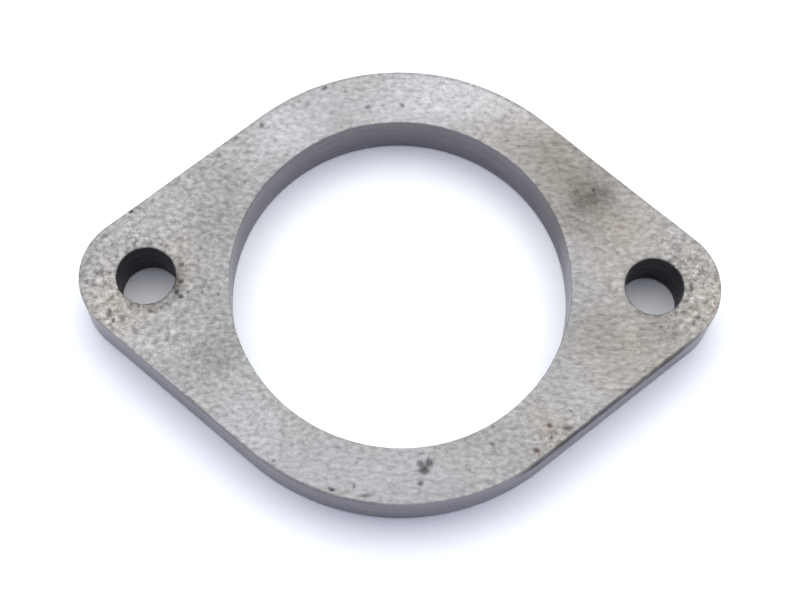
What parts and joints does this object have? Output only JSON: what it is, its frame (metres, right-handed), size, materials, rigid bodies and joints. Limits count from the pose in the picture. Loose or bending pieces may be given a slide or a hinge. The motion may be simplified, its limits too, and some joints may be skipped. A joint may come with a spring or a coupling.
{
  "type": "exhaust flange",
  "caption": "Diamond-shaped weld-on exhaust flange plate with a central pipe bore and a bolt hole in each rounded ear.",
  "frame": {"origin": "centre of the pipe bore in the gasket face, which the flange lies on", "axes": "+X along the line of the two bolt holes, +Y across it, +Z along the bore from the gasket face to the face with the rounded rims"},
  "size_m": [0.12, 0.085, 0.012],
  "materials": {
    "raw_steel": "descaled mild steel plate, fine grey grain, dull"
  },
  "bodies": {
    "root": {"flange_plate": "raw_steel"}
  },
  "joints": []
}
